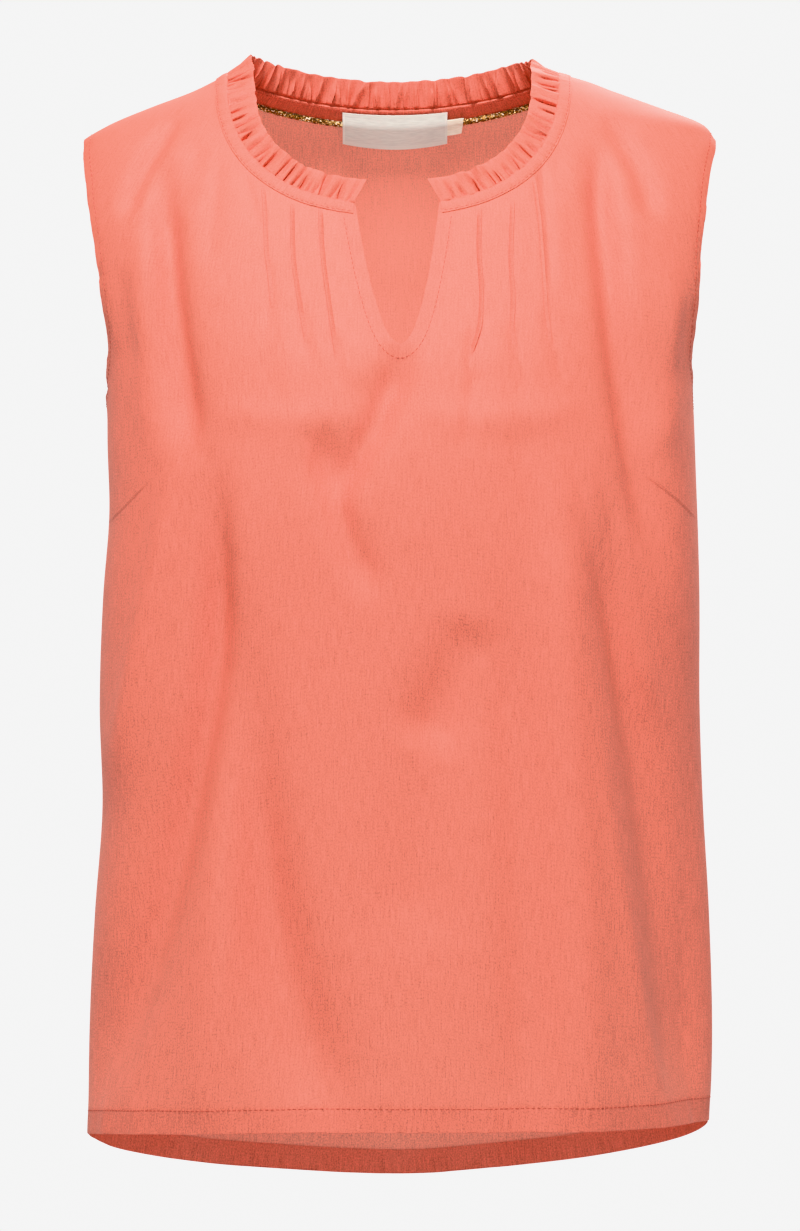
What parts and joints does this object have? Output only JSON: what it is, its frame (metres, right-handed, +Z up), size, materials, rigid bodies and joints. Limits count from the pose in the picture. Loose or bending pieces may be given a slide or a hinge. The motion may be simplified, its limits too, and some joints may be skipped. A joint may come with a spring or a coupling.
{
  "type": "sleeveless blouse",
  "caption": "Sleeveless woven blouse, worn shape but empty: frilled round neck, narrow front notch, stitched tucks, dipped back hem.",
  "frame": {"origin": "midway between the two points where the shoulder seams meet the neck", "axes": "+Z up the wearer, -Y out of the front, +X to the right in the front view, which is the wearer's left"},
  "size_m": [0.3626, 0.2267, 0.6556],
  "materials": {
    "coral_viscose": "matte satin, fine upright slubs",
    "gold_glitter_cord": "glittering metallised thread",
    "grey_satin": "woven satin",
    "cream_tape": "plain woven tape"
  },
  "bodies": {
    "root": {"front_panel": "coral_viscose", "back_panel": "coral_viscose", "neck_band": "coral_viscose", "neck_ruffle": "coral_viscose", "back_neck_tape": "coral_viscose", "neck_piping": "gold_glitter_cord", "neck_label": "grey_satin", "size_tab": "cream_tape"}
  },
  "joints": []
}
